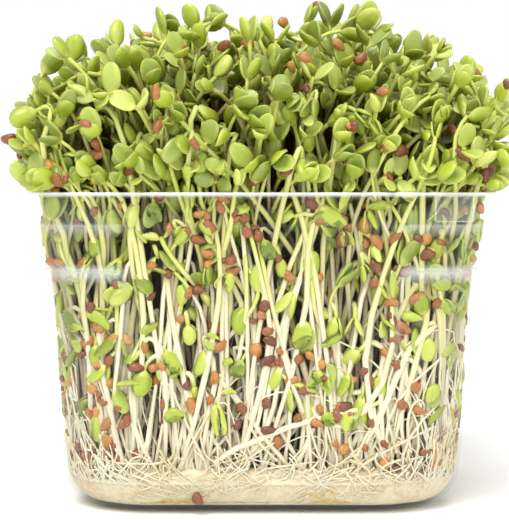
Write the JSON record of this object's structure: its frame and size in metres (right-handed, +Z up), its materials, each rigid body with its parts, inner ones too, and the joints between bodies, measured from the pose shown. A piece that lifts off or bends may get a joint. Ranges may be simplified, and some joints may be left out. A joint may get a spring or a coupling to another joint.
{
  "type": "microgreens tray",
  "caption": "Square clear plastic punnet with a rim and a rounded base, filled with a fibre growing pad, a root mat and a dense dome of alfalfa sprouts on pale stems",
  "frame": {"origin": "middle of the punnet's flat base", "axes": "+Z up out of the base's flat face, -Y towards the front, +X to the right"},
  "size_m": [0.1205, 0.1197, 0.1164],
  "materials": {
    "clear_plastic": "clear, glossy, thin-walled, faintly hazy at its corners",
    "fibre": "matte, felted cream fibre",
    "roots": "moist, tangled fine roots, soft sheen",
    "greens": "fresh, slightly waxy leaves on smooth pale translucent stems, with red-brown seed hulls"
  },
  "bodies": {
    "root": {"tray": "clear_plastic", "growing_pad": "fibre", "root_mat": "roots", "sprouts_01": "greens", "sprouts_02": "greens", "sprouts_03": "greens", "sprouts_04": "greens", "sprouts_05": "greens", "sprouts_06": "greens", "sprouts_07": "greens", "sprouts_08": "greens", "sprouts_09": "greens", "sprouts_10": "greens", "sprouts_11": "greens", "sprouts_12": "greens", "sprouts_13": "greens", "sprouts_14": "greens", "sprouts_15": "greens", "sprouts_16": "greens", "sprouts_17": "greens", "sprouts_18": "greens", "sprouts_19": "greens", "sprouts_20": "greens", "sprouts_21": "greens", "sprouts_22": "greens", "sprouts_23": "greens", "sprouts_24": "greens", "sprouts_25": "greens"}
  },
  "joints": []
}
